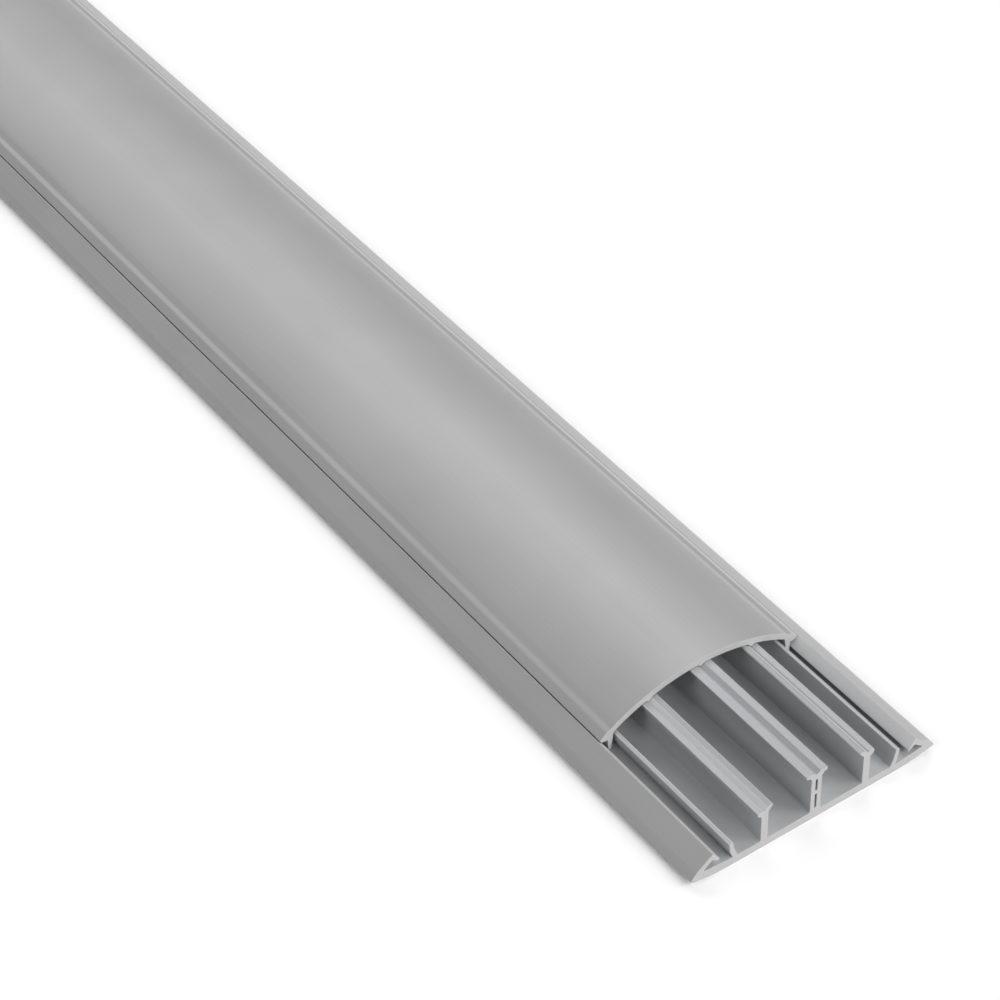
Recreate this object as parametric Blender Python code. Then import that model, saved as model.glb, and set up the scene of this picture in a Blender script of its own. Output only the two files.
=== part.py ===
"""Floor cord cover: a two-piece PVC floor trunking, 75 mm wide and 18 mm high, in a 1 m length.

Both pieces are extrusions along Y. The base lies on the floor and the arched cover is clipped
over it, slid back from the near cut end so that the cable compartments show.
Blender units are metres; the section is drawn in millimetres and scaled once.
X is across the trunking, Y along it and Z up. The middle of the whole object is at X = Y = 0.
"""
import math

import bmesh
import bpy
from mathutils import Matrix

MM = 0.001

# Driving dimensions of the whole object, in millimetres
STOCK_LENGTH = 1000.0
OVERALL_WIDTH = 75.0
OVERALL_HEIGHT = 18.0
COVER_SET_BACK = 44.5
RUNNING_GAP = 0.3

# Base: floor plate and wings
PLATE_TOP = 2.5
FLAT_HALF_WIDTH = 24.0
UNDERSIDE_LIFT_RADIUS = 57.0
WING_EDGE_RADIUS = 0.4
WING_EDGE_LAST_DEG = 39.0
WING_CREASE = (36.0, 4.0)
WING_ROOT = (33.9, 3.35)
WING_ROOT_PLATE_TOP = (25.6, 2.5)
LIP_RIDGE = (31.15, 7.65)
LIP_SEAT = (30.55, 7.0)
LIP_NOSE = (28.95, 4.8)
LIP_NOSE_UNDER = (29.3, 4.2)
LIP_ROOT = (31.15, 5.55)

# Base: clip ribs that grip the legs of the cover
CLIP_RIB_FOOT_X = (23.5, 25.1)
CLIP_RIB_INNER_TOP = (25.1, 7.6)
CLIP_RIB_CREST = (25.7, 7.9)
CLIP_RIB_OUTER_TOP = (26.2, 7.3)
CLIP_RIB_INNER_RADIUS = 16.0
CLIP_RIB_OUTER_RADIUS = 12.0

# Base: partitions between the cable compartments
SIDE_PARTITION_X = 15.65
SIDE_PARTITION_THICKNESS = 2.1
SIDE_NECK_Z = (10.75, 11.7)
SIDE_HEAD_OUTER_TIP = (17.85, 12.75)
SIDE_HEAD_OUTER_UNDER_Z = 11.7
SIDE_GROOVE_LIP = (16.15, 12.7)
SIDE_GROOVE = (15.85, 12.45)
SIDE_STEP_TOP = (14.95, 13.45)
SIDE_HEAD_INNER_TIP = (13.55, 13.9)
SIDE_HEAD_INNER_UNDER = (13.3, 13.2)
MIDDLE_PARTITION_WIDTH = 3.2
MIDDLE_NECK_Z = 13.85
MIDDLE_HEAD_UNDER = (2.3, 14.65)
MIDDLE_HEAD_TIP_UNDER = (3.25, 14.9)
MIDDLE_HEAD_TIP = (3.2, 15.8)
MIDDLE_GROOVE_LIP = (1.05, 15.85)
MIDDLE_GROOVE_Z = 15.0
MIDDLE_FOOT_FILLET = 0.7
SLOT_WIDTH = 0.6
LOWER_SLOT = (3.5, 8.2)
UPPER_SLOT = (9.4, 13.2)

# Cover: arched lid with drooping brims, two legs and three guide nubs
ARCH_RADIUS = 54.0
ARCH_WALL = 1.8
ARCH_HALF_WIDTH = 25.9
SINK_LINE = (27.55, 10.22)
BRIM_CREST = (28.95, 9.72)
LEG_OUTER_TOP = (28.5, 6.9)
LEG_OUTER_FOOT = (28.45, 3.9)
LEG_FOOT = (28.0, 3.4)
LEG_INNER_FOOT = (27.5, 3.6)
LEG_INNER_TOP_X = 26.75
SIDE_NUB_X = 15.9
NUB_HALF_WIDTH = 1.05
NUB_TIP_HALF_WIDTH = 0.15
NUB_HEIGHT = 0.75

# Fineness of the round stretches
ARC_STEP = 1.6
FILLET_STEPS = 3

# Colours as linear values
PVC_GREY = (0.38, 0.37, 0.37, 1.0)
PVC_GREY_LIT = (0.42, 0.41, 0.41, 1.0)


def clear_scene():
    for old in list(bpy.data.objects):
        bpy.data.objects.remove(old, do_unlink=True)


def make_collection(name):
    collection = bpy.data.collections.new(name)
    bpy.context.scene.collection.children.link(collection)
    return collection


def plastic(name, colour, roughness):
    material = bpy.data.materials.new(name)
    material.use_nodes = True
    shader = material.node_tree.nodes["Principled BSDF"]
    shader.inputs["Base Color"].default_value = colour
    shader.inputs["Roughness"].default_value = roughness
    shader.inputs["Metallic"].default_value = 0.0
    return material


def arch_height(x, radius):
    """Height of the cover's arch at x, for its outer or its inner radius."""
    centre_z = OVERALL_HEIGHT - ARCH_RADIUS
    return centre_z + math.sqrt(radius * radius - x * x)


def arc_points(start, end, radius, bulge_left):
    """Points on the arc from start to end, both ends included.

    The arc bulges to the left of its direction of travel, or to the right.
    """
    chord_x, chord_z = end[0] - start[0], end[1] - start[1]
    chord = math.hypot(chord_x, chord_z)
    side = 1.0 if bulge_left else -1.0
    left = (-chord_z / chord, chord_x / chord)
    depth = math.sqrt(radius * radius - chord * chord / 4)
    centre = (
        (start[0] + end[0]) / 2 - side * left[0] * depth,
        (start[1] + end[1]) / 2 - side * left[1] * depth,
    )
    half_angle = math.asin(chord / (2 * radius))
    steps = max(2, math.ceil(2 * half_angle * radius / ARC_STEP))
    middle = math.atan2(side * left[1], side * left[0])
    points = []
    for step in range(steps + 1):
        angle = middle + side * half_angle * (1 - 2 * step / steps)
        points.append((centre[0] + radius * math.cos(angle), centre[1] + radius * math.sin(angle)))
    return points


def fillet(before, corner, after, radius):
    """Points of the small arc that rounds a corner between two straight runs."""
    towards_before = (before[0] - corner[0], before[1] - corner[1])
    towards_after = (after[0] - corner[0], after[1] - corner[1])
    length_before = math.hypot(*towards_before)
    length_after = math.hypot(*towards_after)
    unit_before = (towards_before[0] / length_before, towards_before[1] / length_before)
    unit_after = (towards_after[0] / length_after, towards_after[1] / length_after)
    cosine = unit_before[0] * unit_after[0] + unit_before[1] * unit_after[1]
    half_angle = math.acos(max(-1.0, min(1.0, cosine))) / 2
    setback = min(radius / math.tan(half_angle), 0.45 * length_before, 0.45 * length_after)
    first = (corner[0] + unit_before[0] * setback, corner[1] + unit_before[1] * setback)
    last = (corner[0] + unit_after[0] * setback, corner[1] + unit_after[1] * setback)
    points = []
    for step in range(FILLET_STEPS + 1):
        share = step / FILLET_STEPS
        weights = ((1 - share) ** 2, 2 * share * (1 - share), share ** 2)
        points.append((
            weights[0] * first[0] + weights[1] * corner[0] + weights[2] * last[0],
            weights[0] * first[1] + weights[1] * corner[1] + weights[2] * last[1],
        ))
    return points


def round_edge(centre, radius, first_degrees, last_degrees):
    """Points of a rounded edge about a centre, counted anticlockwise from +X."""
    points = []
    for step in range(2 * FILLET_STEPS + 1):
        share = step / (2 * FILLET_STEPS)
        angle = math.radians(first_degrees + (last_degrees - first_degrees) * share)
        points.append((centre[0] + radius * math.cos(angle), centre[1] + radius * math.sin(angle)))
    return points


def rounded(corners):
    """Outline through (x, z, radius) corners; radius 0 keeps a corner sharp."""
    outline = []
    for index, (x, z, radius) in enumerate(corners):
        if radius <= 0 or index in (0, len(corners) - 1):
            outline.append((x, z))
            continue
        before = corners[index - 1][:2]
        after = corners[index + 1][:2]
        outline.extend(fillet(before, (x, z), after, radius))
    return outline


def mirrored(half):
    """Closed outline from its right half, which runs from the middle plane to the middle plane."""
    left = [(-x, z) for x, z in reversed(half) if x > 1e-6]
    return half + left


def cover_edge_end():
    """Top and bottom corner of the cover's edge, which lies along the lip's seat, a running gap away."""
    seat_run = math.dist(LIP_RIDGE, LIP_SEAT)
    shift_x = -RUNNING_GAP * (LIP_RIDGE[1] - LIP_SEAT[1]) / seat_run
    shift_z = RUNNING_GAP * (LIP_RIDGE[0] - LIP_SEAT[0]) / seat_run
    top = (LIP_RIDGE[0] + shift_x, LIP_RIDGE[1] + shift_z)
    bottom = (LIP_SEAT[0] + shift_x, LIP_SEAT[1] + shift_z)
    return top, bottom


def wing_outline():
    """Right wing from the flat underside round its edge, over its crease and lip, to the plate's top."""
    edge_x = OVERALL_WIDTH / 2 - WING_EDGE_RADIUS
    run = edge_x - FLAT_HALF_WIDTH
    lift = UNDERSIDE_LIFT_RADIUS - math.sqrt(UNDERSIDE_LIFT_RADIUS ** 2 - run ** 2)
    underside = arc_points((FLAT_HALF_WIDTH, 0.0), (edge_x, lift), UNDERSIDE_LIFT_RADIUS, False)
    edge = round_edge((edge_x, lift + WING_EDGE_RADIUS), WING_EDGE_RADIUS, -90.0, WING_EDGE_LAST_DEG)
    wing = rounded([
        (*edge[-1], 0.0),
        (*WING_CREASE, 2.5),
        (*LIP_RIDGE, 0.2),
        (*LIP_SEAT, 0.0),
        (*LIP_NOSE, 0.45),
        (*LIP_NOSE_UNDER, 0.35),
        (*LIP_ROOT, 0.3),
        (*WING_ROOT, 0.25),
        (*WING_ROOT_PLATE_TOP, 0.0),
        (CLIP_RIB_FOOT_X[1], PLATE_TOP, 0.0),
    ])
    return underside + edge[1:-1] + wing


def clip_rib_outline():
    """Right clip rib, up its outer flank and down its inner flank."""
    inner_foot_x, outer_foot_x = CLIP_RIB_FOOT_X
    outer = arc_points((outer_foot_x, PLATE_TOP), CLIP_RIB_OUTER_TOP, CLIP_RIB_OUTER_RADIUS, False)
    inner = arc_points(CLIP_RIB_INNER_TOP, (inner_foot_x, PLATE_TOP), CLIP_RIB_INNER_RADIUS, True)
    return outer[1:] + [CLIP_RIB_CREST] + inner


def side_partition_outline():
    """Right side partition with its stepped head, from its outer foot to its inner foot.

    The head has a level outer arm, a groove over the wall, and a higher inner arm beyond a steep step.
    """
    half = SIDE_PARTITION_THICKNESS / 2
    outer_x = SIDE_PARTITION_X + half
    inner_x = SIDE_PARTITION_X - half
    outer_neck_z, inner_neck_z = SIDE_NECK_Z
    return rounded([
        (outer_x + 1.0, PLATE_TOP, 0.0),
        (outer_x, PLATE_TOP, 0.25),
        (outer_x, outer_neck_z, 0.4),
        (SIDE_HEAD_OUTER_TIP[0], SIDE_HEAD_OUTER_UNDER_Z, 0.25),
        (*SIDE_HEAD_OUTER_TIP, 0.3),
        (*SIDE_GROOVE_LIP, 0.0),
        (*SIDE_GROOVE, 0.0),
        (*SIDE_STEP_TOP, 0.3),
        (*SIDE_HEAD_INNER_TIP, 0.3),
        (*SIDE_HEAD_INNER_UNDER, 0.3),
        (inner_x, inner_neck_z, 0.4),
        (inner_x, PLATE_TOP, 0.25),
        (inner_x - 1.0, PLATE_TOP, 0.0),
    ])


def middle_partition_outline():
    """Right half of the middle partition, from its foot to the narrow groove in its flat head."""
    half = MIDDLE_PARTITION_WIDTH / 2
    return rounded([
        (half + 2.0, PLATE_TOP, 0.0),
        (half, PLATE_TOP, MIDDLE_FOOT_FILLET),
        (half, MIDDLE_NECK_Z, 0.3),
        (*MIDDLE_HEAD_UNDER, 0.3),
        (*MIDDLE_HEAD_TIP_UNDER, 0.3),
        (*MIDDLE_HEAD_TIP, 0.3),
        (*MIDDLE_GROOVE_LIP, 0.2),
        (0.0, MIDDLE_GROOVE_Z, 0.0),
    ])


def base_outline():
    half = [(0.0, 0.0)]
    half += wing_outline()
    half += clip_rib_outline()
    half += side_partition_outline()
    half += middle_partition_outline()
    return mirrored(half)


def slot_outline(low, high):
    half = SLOT_WIDTH / 2
    return [(-half, low), (half, low), (half, high), (-half, high)]


def nub_outline(x):
    """Guide nub under the arch at x, from its outer foot over its tip to its inner foot."""
    inner_radius = ARCH_RADIUS - ARCH_WALL
    outer_foot = (x + NUB_HALF_WIDTH, arch_height(x + NUB_HALF_WIDTH, inner_radius))
    inner_foot = (x - NUB_HALF_WIDTH, arch_height(x - NUB_HALF_WIDTH, inner_radius))
    tip_z = arch_height(x, inner_radius) - NUB_HEIGHT
    return outer_foot, [(x + NUB_TIP_HALF_WIDTH, tip_z), (x - NUB_TIP_HALF_WIDTH, tip_z)], inner_foot


def cover_outline():
    """Arched lid; its right half runs along the top, over the sink line and the brim, and back below."""
    inner_radius = ARCH_RADIUS - ARCH_WALL
    arch_edge = (ARCH_HALF_WIDTH, arch_height(ARCH_HALF_WIDTH, ARCH_RADIUS))
    top = arc_points((0.0, OVERALL_HEIGHT), arch_edge, ARCH_RADIUS, True)
    edge_top, edge_bottom = cover_edge_end()
    arch_start_x = LEG_INNER_TOP_X - 1.5
    brim_and_leg = rounded([
        (*top[-1], 0.0),
        (*SINK_LINE, 2.5),
        (*BRIM_CREST, 1.5),
        (*edge_top, 0.25),
        (*edge_bottom, 0.3),
        (*LEG_OUTER_TOP, 0.3),
        (*LEG_OUTER_FOOT, 0.2),
        (*LEG_FOOT, 0.2),
        (*LEG_INNER_FOOT, 0.2),
        (LEG_INNER_TOP_X, arch_height(LEG_INNER_TOP_X, inner_radius), 0.6),
        (arch_start_x, arch_height(arch_start_x, inner_radius), 0.0),
    ])
    outer_foot, side_tip, inner_foot = nub_outline(SIDE_NUB_X)
    middle_outer_foot, middle_tip, _ = nub_outline(0.0)
    half = top[:-1] + brim_and_leg[:-1]
    half += arc_points(brim_and_leg[-1], outer_foot, inner_radius, False)
    half += side_tip
    half += arc_points(inner_foot, middle_outer_foot, inner_radius, False)
    half += middle_tip[:1]
    return mirrored(half)


def extrusion(name, outlines, near_end, far_end, material, collection):
    """One solid with the given section outlines, along Y from its near end to its far end."""
    curve = bpy.data.curves.new(name + "_section", "CURVE")
    curve.dimensions = "2D"
    curve.fill_mode = "BOTH"
    curve.extrude = (far_end - near_end) * MM / 2
    for outline in outlines:
        spline = curve.splines.new("POLY")
        spline.points.add(len(outline) - 1)
        for point, (x, z) in zip(spline.points, outline):
            point.co = (x * MM, z * MM, 0.0, 1.0)
        spline.use_cyclic_u = True
    drawn = bpy.data.objects.new(name + "_section", curve)
    collection.objects.link(drawn)
    middle = (near_end + far_end) * MM / 2
    drawn.matrix_world = Matrix.Translation((0.0, middle, 0.0)) @ Matrix.Rotation(math.pi / 2, 4, "X")
    bpy.context.view_layer.update()

    evaluated = drawn.evaluated_get(bpy.context.evaluated_depsgraph_get())
    mesh = bpy.data.meshes.new_from_object(evaluated)
    mesh.name = name
    welded = bmesh.new()
    welded.from_mesh(mesh)
    bmesh.ops.remove_doubles(welded, verts=welded.verts, dist=0.000001)
    bmesh.ops.recalc_face_normals(welded, faces=welded.faces)
    welded.to_mesh(mesh)
    welded.free()
    mesh.materials.clear()
    mesh.materials.append(material)

    solid = bpy.data.objects.new(name, mesh)
    solid.matrix_world = drawn.matrix_world.copy()
    collection.objects.link(solid)
    bpy.data.objects.remove(drawn, do_unlink=True)
    mesh.shade_smooth()
    mesh.set_sharp_from_angle(angle=math.radians(25))
    return solid


def build():
    clear_scene()
    collection = make_collection("floor_cord_cover")
    near_end = -(STOCK_LENGTH + COVER_SET_BACK) / 2
    base_far_end = near_end + STOCK_LENGTH
    cover_near_end = near_end + COVER_SET_BACK
    cover_far_end = cover_near_end + STOCK_LENGTH
    base_sections = [base_outline(), slot_outline(*LOWER_SLOT), slot_outline(*UPPER_SLOT)]
    extrusion("base", base_sections, near_end, base_far_end, plastic("base_pvc", PVC_GREY, 0.45), collection)
    extrusion("cover", [cover_outline()], cover_near_end, cover_far_end,
              plastic("cover_pvc", PVC_GREY_LIT, 0.4), collection)


build()
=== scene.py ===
import math

import bmesh
import bpy
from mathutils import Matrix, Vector


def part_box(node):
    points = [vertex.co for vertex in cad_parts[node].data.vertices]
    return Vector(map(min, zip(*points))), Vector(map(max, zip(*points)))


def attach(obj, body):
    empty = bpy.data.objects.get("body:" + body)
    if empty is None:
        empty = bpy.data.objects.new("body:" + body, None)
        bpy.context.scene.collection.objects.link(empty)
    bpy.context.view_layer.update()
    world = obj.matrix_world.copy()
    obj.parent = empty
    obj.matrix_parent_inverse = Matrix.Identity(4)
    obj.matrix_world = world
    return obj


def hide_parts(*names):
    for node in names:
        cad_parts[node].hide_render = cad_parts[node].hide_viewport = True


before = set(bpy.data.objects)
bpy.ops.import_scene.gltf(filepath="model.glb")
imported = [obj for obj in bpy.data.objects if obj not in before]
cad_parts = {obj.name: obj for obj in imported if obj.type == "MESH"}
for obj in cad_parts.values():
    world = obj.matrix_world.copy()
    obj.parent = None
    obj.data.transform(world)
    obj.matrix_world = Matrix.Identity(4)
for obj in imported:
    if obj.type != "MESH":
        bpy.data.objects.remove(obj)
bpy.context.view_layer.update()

MM = 0.001

# The camera stands at the left of the near cut end, a good half metre up, and looks along the trunking.
# Its place is given from the near cut end, in the middle of the trunking and on the floor.
NEAR_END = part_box("base")[0][1]
CAMERA_PLACE = (-329.29 * MM, NEAR_END - 359.75 * MM, 536.76 * MM)
CAMERA_TILT_DEG = (48.1695, 1.4554, -35.1922)
CAMERA_LENS = 107.75
CAMERA_SENSOR = 36.0
CAMERA_NEAREST = 10 * MM

camera_tilt = [math.radians(turn) for turn in CAMERA_TILT_DEG]
bpy.ops.object.camera_add(location=CAMERA_PLACE, rotation=camera_tilt)
camera = bpy.context.object
camera.name = "studio_camera"
camera.data.sensor_width = CAMERA_SENSOR
camera.data.lens = CAMERA_LENS
camera.data.clip_start = CAMERA_NEAREST
bpy.context.scene.camera = camera


# The floor is a sheet of matt white paper board, so large that low views see hardly anything past it.
# The light is soft and white, from far lamps all round. The strongest stand beyond the near cut end and
# to its right, and the sky adds only a little.
FLOOR_SIZE = 60.0
FLOOR_WHITE = "F6F6F6"
LAMP_HEIGHT = 2.0
LIGHT_SPREAD_DEG = 30.0
SKY_WHITE = "FFFFFF"
SKY_STRENGTH = 0.02


def linear_colour(code):
    """An sRGB hex colour as linear red, green, blue and alpha."""
    shares = [int(code[place:place + 2], 16) / 255 for place in (0, 2, 4)]
    return [s / 12.92 if s <= 0.04045 else ((s + 0.055) / 1.055) ** 2.4 for s in shares] + [1.0]


def add_node(material, kind, options=None, inputs=None):
    """Adds a node; each input is a value for that socket, or another node's output to link to it."""
    tree = material.node_tree
    node = tree.nodes.new(kind)
    for option, value in (options or {}).items():
        setattr(node, option, value)
    for socket, value in (inputs or {}).items():
        if isinstance(value, bpy.types.NodeSocket):
            tree.links.new(value, node.inputs[socket])
        else:
            node.inputs[socket].default_value = value
    return node


def bare_material(name):
    """A material with only its output node left."""
    material = bpy.data.materials.new(name)
    material.use_nodes = True
    material.node_tree.nodes.remove(material.node_tree.nodes["Principled BSDF"])
    return material


def show_shader(material, shader):
    """Links a shader node to the material's output."""
    surface = material.node_tree.nodes["Material Output"].inputs["Surface"]
    material.node_tree.links.new(shader.outputs[0], surface)


def white_paper():
    """Uncoated paper board: matt and nearly without shine, so that it shows only soft shadows."""
    material = bare_material("matt_white_paper_board")
    shader = add_node(material, "ShaderNodeBsdfPrincipled", inputs={
        "Base Color": linear_colour(FLOOR_WHITE), "Roughness": 0.9, "Specular IOR Level": 0.1})
    show_shader(material, shader)
    return material


bpy.ops.object.select_all(action="DESELECT")
bpy.ops.mesh.primitive_plane_add(size=FLOOR_SIZE, location=(0, 0, 0))
floor = bpy.context.object
floor.name = "studio_floor"
floor.data.materials.append(white_paper())


def soft_box(name, strength, turn_deg, height_deg):
    """A large, far light. It is turned from the near end's side towards +X, and raised above the floor."""
    bpy.ops.object.light_add(type="SUN", location=(0, 0, LAMP_HEIGHT))
    lamp = bpy.context.object
    lamp.name = name
    lamp.data.energy = strength
    lamp.data.angle = math.radians(LIGHT_SPREAD_DEG)
    turn = math.radians(turn_deg)
    height = math.radians(height_deg)
    reach = math.cos(height)
    towards = Vector((reach * math.sin(turn), -reach * math.cos(turn), math.sin(height)))
    lamp.rotation_euler = towards.to_track_quat("Z", "Y").to_euler()


# Each lamp has its name, its strength, and its turn and height in degrees.
soft_box("front_low_softbox", 0.40, 0, 14)
soft_box("front_softbox", 1.69, 0, 38)
soft_box("front_right_softbox", 1.38, 45, 38)
soft_box("right_softbox", 0.33, 90, 26)
soft_box("back_right_low_softbox", 0.20, 135, 38)
soft_box("back_right_softbox", 0.47, 150, 50)
soft_box("back_softbox", 0.38, 180, 38)
soft_box("left_softbox", 0.76, 270, 38)
soft_box("front_left_softbox", 0.19, 315, 38)

world = bpy.data.worlds.new("white_studio")
bpy.context.scene.world = world
world.use_nodes = True
sky = world.node_tree.nodes["Background"]
sky.inputs["Color"].default_value = linear_colour(SKY_WHITE)
sky.inputs["Strength"].default_value = SKY_STRENGTH
bpy.context.scene.view_settings.view_transform = "Standard"


# The base is one extrusion of rigid grey PVC. A floor plate carries two sloping wings with hooked lips,
# two clip ribs, two partitions with stepped heads and a hollow middle partition with a flat head.
# It is sawn square at both ends, and the saw leaves a matt face with fine marks and a narrow broken edge.
HALF_WIDTH = 37.5
PLATE_TOP = 2.5
FLAT_HALF_WIDTH = 24.0
UNDERSIDE_RADIUS = 57.0
WING_EDGE_RADIUS = 0.4
WING_EDGE_TURN_DEG = 129.0
WING_CREASE = (36.0, 4.0)
WING_ROOT = (33.9, 3.35)
WING_ROOT_ON_PLATE = (25.6, PLATE_TOP)
LIP_RIDGE = (31.15, 7.65)
LIP_SEAT = (30.55, 7.0)
LIP_NOSE = (28.95, 4.8)
LIP_NOSE_UNDER = (29.3, 4.2)
LIP_ROOT = (31.15, 5.55)
RIB_OUTER_FOOT = (25.1, PLATE_TOP)
RIB_OUTER_TOP = (26.2, 7.3)
RIB_CREST = (25.7, 7.9)
RIB_INNER_TOP = (25.1, 7.6)
RIB_INNER_FOOT = (23.5, PLATE_TOP)
RIB_OUTER_RADIUS = 12.0
RIB_INNER_RADIUS = 16.0
SIDE_PARTITION_X = 15.65
SIDE_PARTITION_HALF = 1.05
SIDE_OUTER_X = SIDE_PARTITION_X + SIDE_PARTITION_HALF
SIDE_INNER_X = SIDE_PARTITION_X - SIDE_PARTITION_HALF
SIDE_OUTER_FOOT = (SIDE_OUTER_X, PLATE_TOP)
SIDE_OUTER_NECK = (SIDE_OUTER_X, 10.75)
SIDE_HEAD_OUTER_UNDER = (17.85, 11.7)
SIDE_HEAD_OUTER_TIP = (17.85, 12.75)
SIDE_GROOVE_LIP = (16.15, 12.7)
SIDE_GROOVE = (15.85, 12.45)
SIDE_STEP_TOP = (14.95, 13.45)
SIDE_HEAD_INNER_TIP = (13.55, 13.9)
SIDE_HEAD_INNER_UNDER = (13.3, 13.2)
SIDE_INNER_NECK = (SIDE_INNER_X, 11.7)
SIDE_INNER_FOOT = (SIDE_INNER_X, PLATE_TOP)
MIDDLE_HALF = 1.6
MIDDLE_FOOT = (MIDDLE_HALF, PLATE_TOP)
MIDDLE_NECK = (MIDDLE_HALF, 13.85)
MIDDLE_HEAD_UNDER = (2.3, 14.65)
MIDDLE_HEAD_TIP_UNDER = (3.25, 14.9)
MIDDLE_HEAD_TIP = (3.2, 15.8)
MIDDLE_GROOVE_EDGE = (1.05, 15.85)
MIDDLE_GROOVE = (0.0, 15.0)
SLOT_HALF = 0.3
UPPER_SLOT_BOTTOM = 9.4
UPPER_SLOT_TOP = 13.2
LOWER_SLOT_BOTTOM = 3.5
LOWER_SLOT_TOP = 8.2
SAWN_EDGE = 0.1
EXTRUDED_GREY = "A0A0A0"
# A bluer, slightly paler copy of the grey: painted bluish shade and painted light in the compartments.
INSIDE_PAINTED_LIGHT_GREY = "A2A4A6"
# A paler copy of the grey: painted highlight on the sloping faces of the lips, ribs and heads.
HIGHLIGHT_PAINTED_GREY = "CBCDCE"
SAWN_BASE_GREY = "AAA9A9"

# An arc has a step at least every ARC_STEP millimetres. A rounded corner takes up at most a share of
# its shorter side, so that two corners never meet, and points nearer than SAME_PLACE are one.
ARC_STEP = 0.8
ARC_FEWEST_STEPS = 3
ROUNDING_STEPS = 4
ROUNDING_SHARE = 0.45
SAME_PLACE = 0.001
FLAT_END_FACING = 0.9
SMOOTHING_DEG = 30.0


def start_section(name, x, z, near_end):
    """A small plane at the section's first corner, merged to one vertex, ready to be extruded."""
    bpy.ops.object.select_all(action="DESELECT")
    bpy.ops.mesh.primitive_plane_add(size=MM, location=(x * MM, near_end, z * MM))
    piece = bpy.context.object
    piece.name = name
    piece.data.name = name
    bpy.ops.object.transform_apply(location=True, rotation=True, scale=True)
    bpy.ops.object.mode_set(mode="EDIT")
    bpy.ops.mesh.select_mode(type="VERT")
    bpy.ops.mesh.merge(type="CENTER")
    return piece


def pen():
    """Place in the section of the one selected vertex."""
    drawn = bmesh.from_edit_mesh(bpy.context.object.data)
    vertex = next(v for v in drawn.verts if v.select)
    return vertex.co.x / MM, vertex.co.z / MM


def line_to(*corners):
    """Extrudes the selected vertex straight to each corner in turn."""
    for x, z in corners:
        here_x, here_z = pen()
        shift = ((x - here_x) * MM, 0, (z - here_z) * MM)
        bpy.ops.mesh.extrude_vertices_move(TRANSFORM_OT_translate={"value": shift})


def arc_to(corner, radius, anticlockwise=True):
    """Spins the selected vertex to a corner along an arc of the given radius."""
    x, z = corner
    here_x, here_z = pen()
    chord = math.hypot(x - here_x, z - here_z)
    side = 1 if anticlockwise else -1
    depth = side * math.sqrt(radius ** 2 - chord ** 2 / 4) / chord
    centre_x = (here_x + x) / 2 - (z - here_z) * depth
    centre_z = (here_z + z) / 2 + (x - here_x) * depth
    centre = (centre_x * MM, 0, centre_z * MM)
    turn = 2 * math.asin(chord / (2 * radius))
    steps = max(ARC_FEWEST_STEPS, math.ceil(turn * radius / ARC_STEP))
    bpy.ops.mesh.spin(steps=steps, angle=side * turn, axis=(0, 1, 0), center=centre)


def close_section():
    """Fills the outline with one face."""
    bpy.ops.mesh.select_all(action="SELECT")
    bpy.ops.mesh.edge_face_add()


def round_corners(roundings):
    """Bevels section corners, given as {(x, z): radius}. Each setback comes from the corner's own angle."""
    drawn = bmesh.from_edit_mesh(bpy.context.object.data)
    setbacks = []
    for place, radius in roundings.items():
        vertex = min(drawn.verts, key=lambda v: math.dist((v.co.x / MM, v.co.z / MM), place))
        sides = [edge.other_vert(vertex).co - vertex.co for edge in vertex.link_edges]
        half_angle = sides[0].angle(sides[1]) / 2
        longest = ROUNDING_SHARE * min(side.length for side in sides)
        setbacks.append((vertex.co.copy(), min(radius * MM / math.tan(half_angle), longest)))
    for corner, setback in setbacks:
        drawn = bmesh.from_edit_mesh(bpy.context.object.data)
        for vertex in drawn.verts:
            vertex.select_set((vertex.co - corner).length < SAME_PLACE * MM)
        drawn.select_flush_mode()
        bpy.ops.mesh.bevel(offset=setback, segments=ROUNDING_STEPS, affect="VERTICES", clamp_overlap=False)


def select_faces(wanted):
    """Selects the faces that a test picks, and nothing else."""
    bpy.ops.mesh.select_mode(type="FACE")
    bpy.ops.mesh.select_all(action="DESELECT")
    drawn = bmesh.from_edit_mesh(bpy.context.object.data)
    for face in drawn.faces:
        face.select_set(wanted(face))
    bmesh.update_edit_mesh(bpy.context.object.data)


def push_out(length):
    """Extrudes the half section along the trunking, mirrors it, and breaks the sawn edges."""
    piece = bpy.context.object
    bpy.ops.mesh.select_all(action="SELECT")
    bpy.ops.mesh.extrude_region_move(TRANSFORM_OT_translate={"value": (0, length, 0)})
    bpy.ops.mesh.select_all(action="SELECT")
    bpy.ops.mesh.normals_make_consistent(inside=False)
    select_faces(lambda face: all(abs(v.co.x) < SAME_PLACE * MM for v in face.verts))
    bpy.ops.mesh.delete(type="FACE")
    bpy.ops.object.mode_set(mode="OBJECT")
    bpy.ops.object.modifier_add(type="MIRROR")
    piece.modifiers[-1].merge_threshold = SAME_PLACE * MM
    bpy.ops.object.modifier_apply(modifier=piece.modifiers[-1].name)
    bpy.ops.object.mode_set(mode="EDIT")
    select_faces(lambda face: abs(face.normal.y) > FLAT_END_FACING)
    bpy.ops.mesh.region_to_loop()
    bpy.ops.mesh.bevel(offset=SAWN_EDGE * MM, segments=2, affect="EDGES", clamp_overlap=False)


def finish_piece(finishes):
    """Gives each finish to the faces that its test picks, later ones over earlier, and smooths the arcs."""
    piece = bpy.context.object
    for slot, (material, wanted) in enumerate(finishes):
        piece.data.materials.append(material)
        select_faces(wanted)
        piece.active_material_index = slot
        bpy.ops.object.material_slot_assign()
    bpy.ops.object.mode_set(mode="OBJECT")
    bpy.ops.object.shade_smooth_by_angle(angle=math.radians(SMOOTHING_DEG))
    bpy.ops.object.modifier_add(type="WEIGHTED_NORMAL")
    piece.modifiers[-1].keep_sharp = True
    bpy.ops.object.modifier_apply(modifier=piece.modifiers[-1].name)


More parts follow.
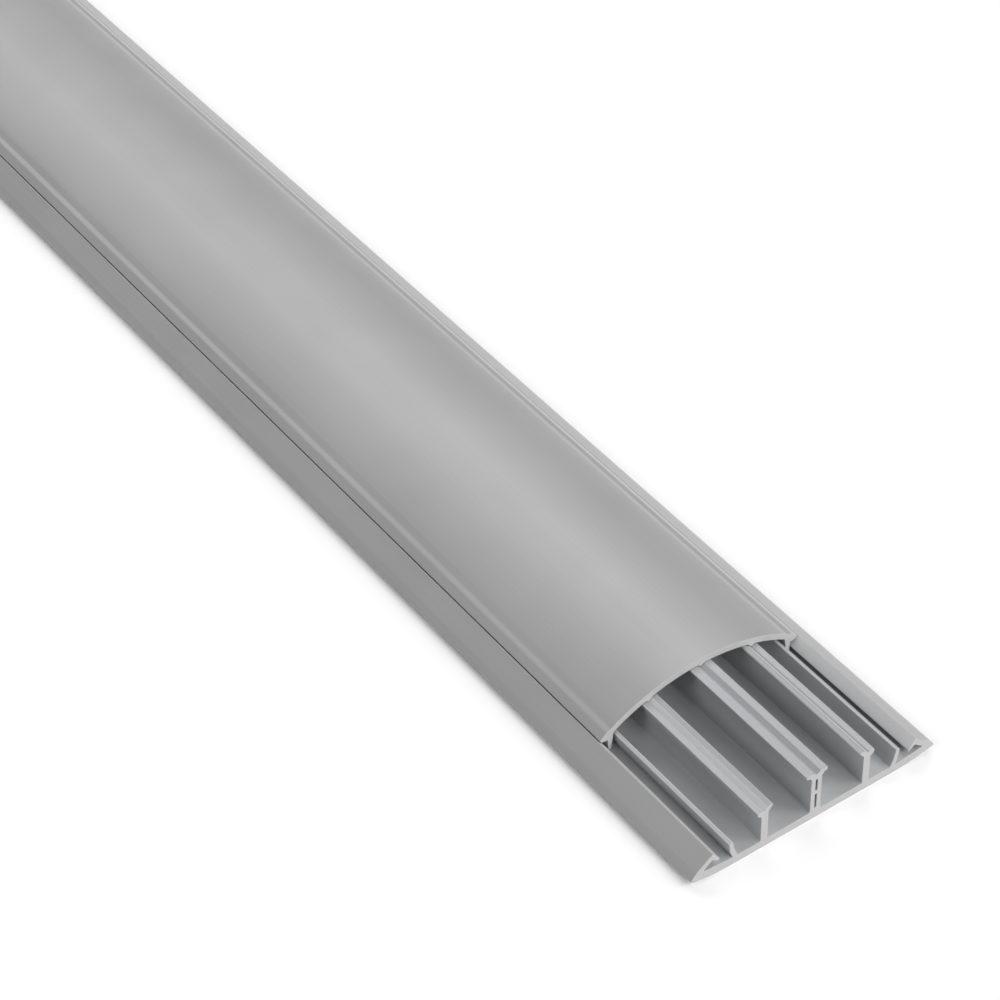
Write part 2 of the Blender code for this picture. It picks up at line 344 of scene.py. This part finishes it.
# The die draws fine lines that run along the whole piece and slowly come and go, about six times in a
# metre. Real lines, grain and saw marks are finer than the render's pixels, so all are drawn coarser.
# NOISE_LOW and NOISE_HIGH are the values between which nearly all of a noise pattern lies.
PVC_IOR = 1.53
DRAWN_LINE_SPACING = 0.5
DRAWN_LINES_PER_METRE = 6
GRAIN_SIZE = 0.6
GRAIN_ROUGHNESS = 0.03
CLOUD_SIZE = 25.0
SAWN_ROUGHNESS = 0.62
SAW_MARK_LENGTH = 6.0
SAW_MARK_SPACING = 0.35
SAW_MARK_DEG = 24.0
NOISE_LOW = 0.3
NOISE_HIGH = 0.7


def extruded_pvc(name, colour, roughness):
    """Rigid PVC as it leaves the die: satin, with faint lines drawn along it and a slight cloudiness."""
    material = bare_material(name)
    place = add_node(material, "ShaderNodeTexCoord").outputs["Object"]
    line_scale = 1 / (DRAWN_LINE_SPACING * MM)
    lines_place = add_node(material, "ShaderNodeMapping", inputs={
        "Vector": place, "Scale": (line_scale, DRAWN_LINES_PER_METRE, line_scale)})
    lines = add_node(material, "ShaderNodeTexNoise", inputs={
        "Vector": lines_place.outputs[0], "Scale": 1.0, "Detail": 2.0})
    grain = add_node(material, "ShaderNodeTexNoise", inputs={
        "Vector": place, "Scale": 1 / (GRAIN_SIZE * MM), "Detail": 2.0})
    cloud = add_node(material, "ShaderNodeTexNoise", inputs={
        "Vector": place, "Scale": 1 / (CLOUD_SIZE * MM), "Detail": 2.0})
    tone = add_node(material, "ShaderNodeMapRange", inputs={
        "Value": cloud.outputs["Fac"], "From Min": NOISE_LOW, "From Max": NOISE_HIGH,
        "To Min": 0.975, "To Max": 1.025})
    streak = add_node(material, "ShaderNodeMapRange", inputs={
        "Value": lines.outputs["Fac"], "From Min": NOISE_LOW, "From Max": NOISE_HIGH,
        "To Min": 0.98, "To Max": 1.02})
    shade = add_node(material, "ShaderNodeMath", {"operation": "MULTIPLY"}, {
        0: tone.outputs[0], 1: streak.outputs[0]})
    tinted = add_node(material, "ShaderNodeVectorMath", {"operation": "SCALE"}, {
        0: linear_colour(colour)[:3], "Scale": shade.outputs[0]})
    gloss = add_node(material, "ShaderNodeMapRange", inputs={
        "Value": grain.outputs["Fac"], "From Min": NOISE_LOW, "From Max": NOISE_HIGH,
        "To Min": roughness - GRAIN_ROUGHNESS, "To Max": roughness + GRAIN_ROUGHNESS})
    drawn = add_node(material, "ShaderNodeBump", inputs={
        "Height": lines.outputs["Fac"], "Strength": 0.15, "Distance": 0.01 * MM})
    bumped = add_node(material, "ShaderNodeBump", inputs={
        "Height": grain.outputs["Fac"], "Strength": 0.2, "Distance": 0.02 * MM,
        "Normal": drawn.outputs[0]})
    shader = add_node(material, "ShaderNodeBsdfPrincipled", inputs={
        "Base Color": tinted.outputs[0], "Roughness": gloss.outputs[0], "IOR": PVC_IOR,
        "Normal": bumped.outputs[0]})
    show_shader(material, shader)
    return material


def sawn_pvc(name, colour):
    """PVC cut by a circular saw: paler and matt, with close parallel scratches."""
    material = bare_material(name)
    place = add_node(material, "ShaderNodeTexCoord").outputs["Object"]
    marks_place = add_node(material, "ShaderNodeMapping", inputs={
        "Vector": place, "Rotation": (0, math.radians(SAW_MARK_DEG), 0),
        "Scale": (1 / (SAW_MARK_LENGTH * MM), 0, 1 / (SAW_MARK_SPACING * MM))})
    marks = add_node(material, "ShaderNodeTexNoise", inputs={
        "Vector": marks_place.outputs[0], "Scale": 1.0, "Detail": 3.0})
    shade = add_node(material, "ShaderNodeMapRange", inputs={
        "Value": marks.outputs["Fac"], "From Min": NOISE_LOW, "From Max": NOISE_HIGH,
        "To Min": 0.93, "To Max": 1.05})
    tinted = add_node(material, "ShaderNodeVectorMath", {"operation": "SCALE"}, {
        0: linear_colour(colour)[:3], "Scale": shade.outputs[0]})
    bumped = add_node(material, "ShaderNodeBump", inputs={
        "Height": marks.outputs["Fac"], "Strength": 0.3, "Distance": 0.03 * MM})
    shader = add_node(material, "ShaderNodeBsdfPrincipled", inputs={
        "Base Color": tinted.outputs[0], "Roughness": SAWN_ROUGHNESS, "IOR": PVC_IOR,
        "Normal": bumped.outputs[0]})
    show_shader(material, shader)
    return material


# Each finish is told by where a face lies and looks. The inside is what lies between the two lips. The
# painted highlight goes on sloping faces of the lips, ribs and heads, but not on the outer flank of a side
# head's groove.
SAWN_FACING = 0.3
INSIDE_HALF = 31.1
INSIDE_LOWEST = 2.0
HIGHLIGHT_SLOPE = (0.15, 0.9)
HIGHLIGHT_LIP_ACROSS = (28.9, 31.2)
HIGHLIGHT_LIP_LOWEST = 4.9
HIGHLIGHT_RIB_ACROSS = (24.0, 27.0)
HIGHLIGHT_RIB_LOWEST = 7.3
HIGHLIGHT_HEAD_ACROSS = (0.95, 18.0)
HIGHLIGHT_HEAD_LOWEST = 12.0
GROOVE_FLANK_ACROSS = (15.85, 16.2)


def is_sawn(face):
    """The saw cuts and their broken edges."""
    return abs(face.normal.y) > SAWN_FACING


def is_extruded(face):
    """All that the die shaped."""
    return not is_sawn(face)


def is_inside_base(face):
    """The compartments between the wings' lips."""
    centre = face.calc_center_median() / MM
    return is_extruded(face) and abs(centre.x) < INSIDE_HALF and centre.z > INSIDE_LOWEST


def within(value, limits):
    """Whether a value lies between two limits."""
    return limits[0] < value < limits[1]


def is_painted_highlight(face):
    """The lips' inner flanks and the sloping tops of heads and ribs, where the cover snaps on: a paler grey
    on them is painted highlight.
    """
    centre = face.calc_center_median() / MM
    across = abs(centre.x)
    slopes = is_extruded(face) and within(face.normal.z, HIGHLIGHT_SLOPE)
    looks_inward = face.normal.x * centre.x < 0
    on_lip = within(across, HIGHLIGHT_LIP_ACROSS) and centre.z > HIGHLIGHT_LIP_LOWEST and looks_inward
    on_rib = within(across, HIGHLIGHT_RIB_ACROSS) and centre.z > HIGHLIGHT_RIB_LOWEST
    on_head = within(across, HIGHLIGHT_HEAD_ACROSS) and centre.z > HIGHLIGHT_HEAD_LOWEST
    on_groove_flank = within(across, GROOVE_FLANK_ACROSS)
    return slopes and (on_lip or on_rib or (on_head and not on_groove_flank))


wing_edge_x = HALF_WIDTH - WING_EDGE_RADIUS
wing_edge_z = UNDERSIDE_RADIUS - math.sqrt(UNDERSIDE_RADIUS ** 2 - (wing_edge_x - FLAT_HALF_WIDTH) ** 2)
wing_turn = math.radians(WING_EDGE_TURN_DEG)
wing_edge_end = (wing_edge_x + WING_EDGE_RADIUS * math.sin(wing_turn),
                 wing_edge_z + WING_EDGE_RADIUS * (1 - math.cos(wing_turn)))

base = start_section("base_extrusion", 0.0, 0.0, NEAR_END)
line_to((FLAT_HALF_WIDTH, 0.0))
arc_to((wing_edge_x, wing_edge_z), UNDERSIDE_RADIUS)
arc_to(wing_edge_end, WING_EDGE_RADIUS)
line_to(WING_CREASE, LIP_RIDGE, LIP_SEAT, LIP_NOSE, LIP_NOSE_UNDER, LIP_ROOT)
line_to(WING_ROOT, WING_ROOT_ON_PLATE, RIB_OUTER_FOOT)
arc_to(RIB_OUTER_TOP, RIB_OUTER_RADIUS)
line_to(RIB_CREST, RIB_INNER_TOP)
arc_to(RIB_INNER_FOOT, RIB_INNER_RADIUS, anticlockwise=False)
line_to(SIDE_OUTER_FOOT, SIDE_OUTER_NECK, SIDE_HEAD_OUTER_UNDER, SIDE_HEAD_OUTER_TIP)
line_to(SIDE_GROOVE_LIP, SIDE_GROOVE, SIDE_STEP_TOP, SIDE_HEAD_INNER_TIP, SIDE_HEAD_INNER_UNDER)
line_to(SIDE_INNER_NECK, SIDE_INNER_FOOT)
line_to(MIDDLE_FOOT, MIDDLE_NECK, MIDDLE_HEAD_UNDER, MIDDLE_HEAD_TIP_UNDER, MIDDLE_HEAD_TIP)
line_to(MIDDLE_GROOVE_EDGE, MIDDLE_GROOVE)
for slot_top, slot_bottom in ((UPPER_SLOT_TOP, UPPER_SLOT_BOTTOM), (LOWER_SLOT_TOP, LOWER_SLOT_BOTTOM)):
    line_to((0.0, slot_top), (SLOT_HALF, slot_top), (SLOT_HALF, slot_bottom), (0.0, slot_bottom))
close_section()
round_corners({
    WING_CREASE: 2.5, LIP_RIDGE: 0.2, LIP_NOSE: 0.45, LIP_NOSE_UNDER: 0.35, LIP_ROOT: 0.3,
    WING_ROOT: 0.25, WING_ROOT_ON_PLATE: 0.5, RIB_OUTER_TOP: 0.3, RIB_CREST: 0.3, RIB_INNER_TOP: 0.3,
    SIDE_OUTER_FOOT: 0.25, SIDE_OUTER_NECK: 0.4, SIDE_HEAD_OUTER_UNDER: 0.25, SIDE_HEAD_OUTER_TIP: 0.3,
    SIDE_GROOVE_LIP: 0.15, SIDE_STEP_TOP: 0.3, SIDE_HEAD_INNER_TIP: 0.3, SIDE_HEAD_INNER_UNDER: 0.3,
    SIDE_INNER_NECK: 0.4, SIDE_INNER_FOOT: 0.25, MIDDLE_FOOT: 0.7, MIDDLE_NECK: 0.3,
    MIDDLE_HEAD_UNDER: 0.3, MIDDLE_HEAD_TIP_UNDER: 0.3, MIDDLE_HEAD_TIP: 0.3, MIDDLE_GROOVE_EDGE: 0.2,
    (SLOT_HALF, UPPER_SLOT_TOP): 0.12, (SLOT_HALF, UPPER_SLOT_BOTTOM): 0.12,
    (SLOT_HALF, LOWER_SLOT_TOP): 0.12, (SLOT_HALF, LOWER_SLOT_BOTTOM): 0.12,
})
push_out(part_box("base")[1][1] - NEAR_END)

# The outside is satin grey. The compartments get a copy of the same grey that is a little rougher and is
# tinted bluer and a touch paler, as painted bluish shade and painted light. The sloping faces that the cover
# snaps over get a paler and a little smoother copy as painted highlight, and the saw cuts are matt.
finish_piece([
    (extruded_pvc("extruded_grey_rigid_pvc_base", EXTRUDED_GREY, roughness=0.32), is_extruded),
    (extruded_pvc("grey_pvc_inside_painted_light", INSIDE_PAINTED_LIGHT_GREY, roughness=0.36), is_inside_base),
    (extruded_pvc("grey_pvc_painted_highlight", HIGHLIGHT_PAINTED_GREY, roughness=0.3), is_painted_highlight),
    (sawn_pvc("sawn_grey_rigid_pvc_base", SAWN_BASE_GREY), is_sawn),
])
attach(base, "base_body")
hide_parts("base")


# The cover is a second extrusion of the same PVC. A thin arch ends in two drooping brims that lie
# inside the wings' lips, nearly flush. A leg below each brim clips over the base's rib, and three
# guide nubs hang under the arch. The legs left a shallow sink line above them as the extrusion cooled.
ARCH_RADIUS = 54.0
ARCH_WALL = 1.8
ARCH_TOP = 18.0
ARCH_UNDER_RADIUS = ARCH_RADIUS - ARCH_WALL
ARCH_HALF_WIDTH = 25.9
SINK_LINE = (27.55, 10.22)
BRIM_CREST = (28.95, 9.72)
BRIM_EDGE_TOP = (30.93, 7.853)
BRIM_EDGE_UNDER = (30.33, 7.203)
LEG_OUTER_TOP = (28.5, 6.9)
LEG_OUTER_TIP = (28.45, 3.9)
LEG_TIP = (28.0, 3.4)
LEG_INNER_TIP = (27.5, 3.6)
LEG_INNER_TOP_X = 26.75
UNDER_ARCH_START_X = 25.25
SIDE_NUB_X = 15.9
NUB_HALF = 1.05
NUB_TIP_HALF = 0.15
NUB_HEIGHT = 0.75
SAWN_COVER_GREY = "B4B4B4"


def on_arch(x, radius):
    """Place at x on the arch's top or on its underside."""
    return x, ARCH_TOP - ARCH_RADIUS + math.sqrt(radius ** 2 - x ** 2)


arch_edge = on_arch(ARCH_HALF_WIDTH, ARCH_RADIUS)
leg_inner_top = on_arch(LEG_INNER_TOP_X, ARCH_UNDER_RADIUS)
under_arch_start = on_arch(UNDER_ARCH_START_X, ARCH_UNDER_RADIUS)
side_nub_outer = on_arch(SIDE_NUB_X + NUB_HALF, ARCH_UNDER_RADIUS)
side_nub_inner = on_arch(SIDE_NUB_X - NUB_HALF, ARCH_UNDER_RADIUS)
side_nub_tip_z = on_arch(SIDE_NUB_X, ARCH_UNDER_RADIUS)[1] - NUB_HEIGHT
middle_nub_outer = on_arch(NUB_HALF, ARCH_UNDER_RADIUS)
middle_nub_tip_z = on_arch(0.0, ARCH_UNDER_RADIUS)[1] - NUB_HEIGHT

cover_near_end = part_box("cover")[0][1]
cover = start_section("cover_extrusion", 0.0, ARCH_TOP, cover_near_end)
arc_to(arch_edge, ARCH_RADIUS, anticlockwise=False)
line_to(SINK_LINE, BRIM_CREST, BRIM_EDGE_TOP, BRIM_EDGE_UNDER)
line_to(LEG_OUTER_TOP, LEG_OUTER_TIP, LEG_TIP, LEG_INNER_TIP, leg_inner_top, under_arch_start)
arc_to(side_nub_outer, ARCH_UNDER_RADIUS)
line_to((SIDE_NUB_X + NUB_TIP_HALF, side_nub_tip_z), (SIDE_NUB_X - NUB_TIP_HALF, side_nub_tip_z))
line_to(side_nub_inner)
arc_to(middle_nub_outer, ARCH_UNDER_RADIUS)
line_to((NUB_TIP_HALF, middle_nub_tip_z), (0.0, middle_nub_tip_z))
close_section()
round_corners({
    arch_edge: 6.0, SINK_LINE: 2.5, BRIM_CREST: 1.5, BRIM_EDGE_TOP: 0.25, BRIM_EDGE_UNDER: 0.3,
    LEG_OUTER_TOP: 0.3, LEG_OUTER_TIP: 0.2, LEG_TIP: 0.2, LEG_INNER_TIP: 0.2, leg_inner_top: 0.6,
    side_nub_outer: 0.5, side_nub_inner: 0.5, middle_nub_outer: 0.5,
})
push_out(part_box("cover")[1][1] - cover_near_end)

# The cover has the same satin grey, and its saw cuts came out paler than the base's.
finish_piece([
    (extruded_pvc("extruded_grey_rigid_pvc_cover", EXTRUDED_GREY, roughness=0.32), is_extruded),
    (sawn_pvc("sawn_grey_rigid_pvc_cover", SAWN_COVER_GREY), is_sawn),
])
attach(cover, "cover_body")
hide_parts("cover")
